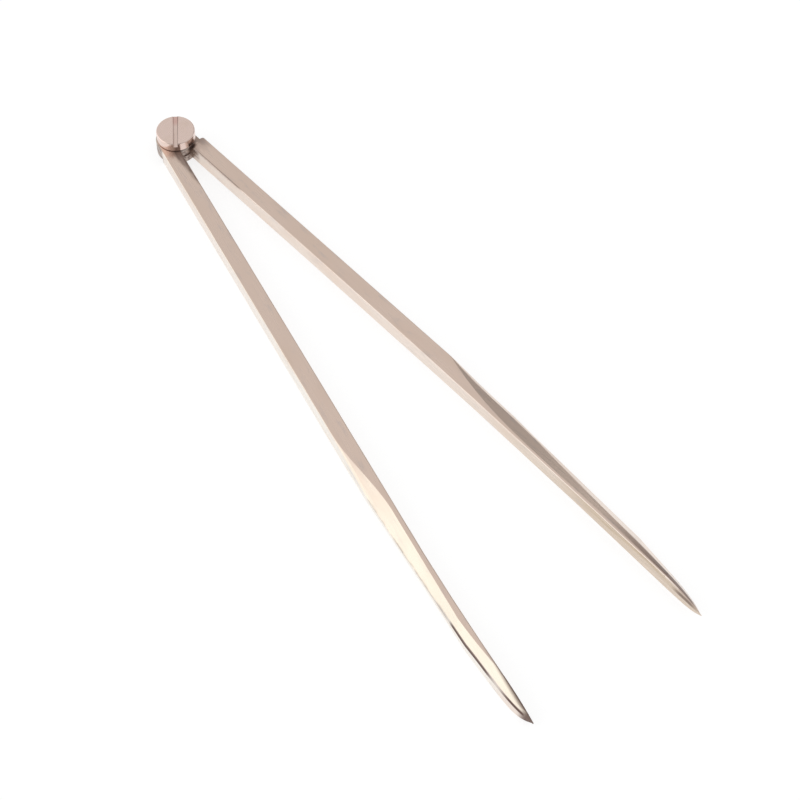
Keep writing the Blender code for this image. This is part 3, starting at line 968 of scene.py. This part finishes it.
def crease_line(bench, leg):
    """The outermost line of the leg, by the same formula as outer_line."""
    past_start = bench.most(bench.minus(leg.along, TAPER_START / MM), 0.0)
    taper = bench.minus(LUG_RADIUS / MM, bench.product(past_start, TAPER_SLOPE))
    ground = bench.add("MapRange", {"Value": leg.along, "From Min": GROUND_START / MM,
                                    "From Max": LEG_LENGTH / MM}).outputs["Result"]
    curve = bench.plus(bench.product(ground, GROUND_EASY),
                       bench.product(bench.maths("POWER", ground, GROUND_NOSE), 1 - GROUND_EASY))
    depth = (taper_line(LEG_LENGTH) + POINT_OFFSET) / MM
    return bench.minus(taper, bench.product(curve, depth))


print("outer line at the tip:", round(outer_line(LEG_LENGTH) / MM, 2), "mm")

# %% [markdown]
# On the left leg a dark line runs along the crease between the bevel and the wall. It is faint
# and broken up at first, strong beside the point, and weaker again around 190 mm from the hinge.
# The tip is dark all round, and so is the inner edge just before it.

# %% Tarnish and painted shade on the left leg
FAINT_LINE_START = 118.0
STRONG_LINE_START = 171.0
LINE_END = 201.0
LINE_WEAKEST = 190.5


def left_tarnish_and_shade(bench, leg, spots):
    outer = crease_line(bench, leg)
    line_middle = bench.rise(leg.along, 181.0, 188.0, BAR_MIDDLE + 0.33, BAR_MIDDLE + 0.10)
    on_line = bench.hump(bench.minus(leg.height, line_middle), -0.40, 0.40, 0.13)
    strong = bench.product(
        on_line, edge_line(bench, leg, outer, 1.0, STRONG_LINE_START, LINE_END, 1.0),
        bench.rise(bench.away(leg.along, LINE_WEAKEST), 0.2, 5.0, 0.30, 1.0))
    faint = bench.product(
        on_line, edge_line(bench, leg, outer, 0.5, FAINT_LINE_START, STRONG_LINE_START, 0.45),
        bench.rise(spots, 0.4, 0.6), bench.rise(leg.along, FAINT_LINE_START, 150.0, 0.3, 1.0))
    tip = bench.product(bench.rise(leg.along, 198.0, 201.0), 0.9)
    from_inner = bench.minus(leg.across, inner_line(bench, leg, LEFT))
    inner_reach = bench.rise(leg.along, 184.0, 198.0, 0.8, 1.25)
    inner_dark = bench.product(bench.rise(from_inner, 0.25, inner_reach, 1.0, 0.0),
                               bench.rise(leg.along, 178.0, 196.0, 0.0, 0.85),
                               bench.rise(leg.height, BAR_MIDDLE + 0.6, BAR_MIDDLE + 1.2))
    return bench.most(lug_tarnish_and_shade(bench, leg, spots), crotch_darkening(bench, leg, spots),
                      strong, faint, tip, inner_dark)


print("left leg's line runs from", FAINT_LINE_START, "to", LINE_END, "mm")

# %% [markdown]
# The right leg's bevel is painted darker towards the point, from the ridge to about the middle
# of the bevel, as painted shade. It has a short line of painted shade along the inner edge beside
# the hinge, a mottled corner on its inner wall and a darker top where it goes under the head,
# both partly tarnish and partly painted shade, a dark ear that is painted shade below the head,
# and a small dark facet by the tip.

# %% Tarnish and painted shade on the right leg
LINE_BESIDE_HINGE = (7.0, 27.0)


def right_tarnish_and_shade(bench, leg, spots):
    outer = crease_line(bench, leg)
    inner = inner_line(bench, leg, RIGHT)
    # A short line of painted shade along the inner top edge beside the hinge.
    line = edge_line(bench, leg, (INNER_OFFSET + EDGE_BREAK) / MM, 0.24, *LINE_BESIDE_HINGE, 0.7)
    # The mottled corner of the inner wall by the lug is partly tarnish and partly painted shade.
    wall_corner = bench.product(leg.on_side, bench.hump(leg.along, 4.0, 8.5, 1.2),
                                bench.rise(spots, 0.38, 0.55, 0.8, 0.2))
    facet = bench.product(bench.hump(leg.along, 194.0, 200.5, 1.8),
                          bench.hump(leg.height, BAR_MIDDLE - 0.1, BAR_MIDDLE + 1.35, 0.3),
                          bench.rise(leg.outwards, -0.8, -0.5, 1.0, 0.0), 0.70)
    # Painted shade on the bevel, from the ridge to about its middle, darker towards the point.
    across_share = bench.maths("DIVIDE", bench.minus(leg.across, inner),
                               bench.minus(outer, inner))
    bevel = bench.product(bench.hump(across_share, 0.13, 0.58, 0.07),
                          bench.rise(leg.along, 160.0, 192.0, 0.0, 0.75),
                          bench.rise(leg.along, 198.5, 201.5, 1.0, 0.3),
                          bench.rise(leg.height, BAR_MIDDLE + 0.1, BAR_MIDDLE + 0.5))
    # The ear is painted darker towards its foot, painted shade below the head.
    ear = bench.product(bench.hump(leg.along, -1.0, 3.6, 0.5),
                        bench.rise(leg.across, 3.6, 4.4),
                        bench.rise(leg.height, BAR_MIDDLE + 0.3, BAR_MIDDLE, 0.0, 0.55))
    # The top darkens close to the head, partly tarnish and partly painted shade under the head.
    near_hinge = bench.product(leg.on_top, bench.rise(leg.along, 4.0, 11.0, 0.55, 0.0),
                               bench.rise(spots, 0.35, 0.6))
    return bench.most(lug_tarnish_and_shade(bench, leg, spots), line, wall_corner, facet, bevel,
                      near_hinge, ear)


print("right leg's short line is", LINE_BESIDE_HINGE[1] - LINE_BESIDE_HINGE[0], "mm long")

# %% [markdown]
# Now each leg gets a material of its own, because tarnish, painted shade and colours differ
# from leg to leg. The layers come together here: bare metal, tarnish and painted shade over it,
# and grain as a slight bump.

# %% Finish both legs
LEG_GRAIN = 0.25


def leg_finish(name, filing, tarnish_and_shade):
    material, shader, bench = metal(name)
    leg = LegPlace(bench, filing)
    colour, roughness, grain, spots = bare_metal(bench, leg, filing)
    finish_metal(bench, shader, colour, tarnish_and_shade(bench, leg, spots), roughness, grain, LEG_GRAIN)
    return material


for leg, word, filing, tarnish_and_shade in ((left_leg, "left", LEFT, left_tarnish_and_shade),
                                   (right_leg, "right", RIGHT, right_tarnish_and_shade)):
    material = leg_finish("nickel silver, " + word + " leg", filing, tarnish_and_shade)
    leg.data.materials.append(material)
    print(material.name, "has", len(material.node_tree.nodes), "nodes")

# %% [markdown]
# The screw's head was turned, so its grain runs in rings round its middle, and its side was
# polished in the lathe until it mirrors the table. Painted shade darkens both walls of the slot,
# one more than the other, and the slot's floor a little, and a painted contact shadow runs round
# the foot of the head. The slot's far end is stained red. The rings are noise that reads the
# radius alone, and the painted shade in the slot is placed by how far a spot is from its walls.

# %% Turned metal
HEAD_METAL = (0.93, 0.735, 0.655, 1.0)
HEAD_SIDE = (0.83, 0.66, 0.60, 1.0)
RED_STAIN = (0.80, 0.50, 0.44, 1.0)
SLOT_LINE = 0.17
HEAD_GRAIN = 0.12


def slot_shade(bench, beside, height):
    """Painted shade: dark lines along the slot's walls, one darker, and a slightly darker floor."""
    from_wall = bench.minus(bench.away(beside, 0.0), SLOT_WIDTH / 2 / MM)
    near_wall = bench.rise(bench.away(from_wall, 0.0), SLOT_LINE * 0.4, SLOT_LINE, 1.0, 0.0)
    walls = bench.product(near_wall, bench.rise(beside, -0.1, 0.1, 0.3, 0.6),
                          bench.rise(height, (HEAD_TOP - 1.6 * SLOT_DEPTH) / MM,
                                     (HEAD_TOP - 1.3 * SLOT_DEPTH) / MM))
    floor = bench.product(bench.rise(from_wall, -0.1, 0.0, 1.0, 0.0), 0.10)
    return bench.most(walls, floor)


def screw_finish():
    material, shader, bench = metal("turned nickel silver")
    place = in_millimetres(bench)
    parts = bench.parts(place)
    radius = bench.radius(parts["X"], parts["Y"])
    rings_place = bench.add("CombineXYZ", {"X": radius, "Y": parts["Z"]}).outputs["Vector"]
    rings = bench.noise(rings_place, 3.0)
    clouds = bench.noise(place, 0.35, detail=3.0)
    on_top = bench.rise(bench.parts(bench.add("TexCoord", {}).outputs["Normal"])["Z"], 0.7, 0.95)
    colour = bench.blend(on_top, HEAD_SIDE, HEAD_METAL)
    colour = bench.blend(bench.rise(clouds, 0.45, 0.8, 0.0, 0.4), colour, DULL_METAL)

    slot_parts = bench.parts(in_millimetres(bench, -SLOT_TURN))
    stain = bench.product(bench.rise(bench.away(slot_parts["X"], 0.0), 0.5, 1.1, 1.0, 0.0),
                          bench.rise(slot_parts["Y"], 1.6, 3.6), on_top, 0.7)
    colour = bench.blend(stain, colour, RED_STAIN)
    # A painted contact shadow darkens the foot of the head's side.
    under_head_shadow = bench.rise(parts["Z"], (HEAD_BOTTOM + 0.05 * MM) / MM,
                            (HEAD_BOTTOM + 0.4 * MM) / MM, 0.6, 0.0)
    tarnish_and_shade = bench.most(slot_shade(bench, slot_parts["X"], parts["Z"]), under_head_shadow)
    roughness = bench.plus(bench.rise(on_top, 0.0, 1.0, 0.21, 0.28),
                           bench.rise(rings, 0.3, 0.7, -0.02, 0.03))
    finish_metal(bench, shader, colour, tarnish_and_shade, roughness, rings, HEAD_GRAIN)
    return material


screw.data.materials.append(screw_finish())
print("screw finished, slot", round(SLOT_WIDTH / MM, 1), "mm wide")

# %% [markdown]
# The washer is rolled bronze, yellower than the rest. It hardly shows, so one soft noise
# between two bronze colours is enough, and the same noise makes some spots duller.

# %% Washer bronze
DARK_BRONZE = (0.50, 0.36, 0.18, 1.0)
LIGHT_BRONZE = (0.62, 0.47, 0.27, 1.0)
BRONZE_CLOUDS = 700.0


def washer_finish():
    material, shader, bench = metal("washer bronze")
    clouds = bench.noise(bench.add("TexCoord", {}).outputs["Object"], BRONZE_CLOUDS, detail=3.0)
    links = material.node_tree.links
    links.new(bench.blend(clouds, DARK_BRONZE, LIGHT_BRONZE), shader.inputs["Base Color"])
    links.new(bench.rise(clouds, 0.3, 0.7, 0.35, 0.55), shader.inputs["Roughness"])
    return material


washer.data.materials.append(washer_finish())
print("washer finished")

# %% [markdown]
# Each finished piece takes the place of its plain solid in the working model and rides on the
# same body.

# %% Put the pieces on the working model
for piece, node_name, body, slot_name in (
        (left_leg, "left_leg", "upper_leg", "leg_metal"),
        (right_leg, "right_leg", "lower_leg", "leg_metal"),
        (screw, "pivot_screw", "lower_leg", "screw_metal"),
        (washer, "lap_washer", "lower_leg", "washer_metal")):
    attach(piece, body)
    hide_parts(node_name)
    print(piece.name, "rides on", body)

# %% [markdown]
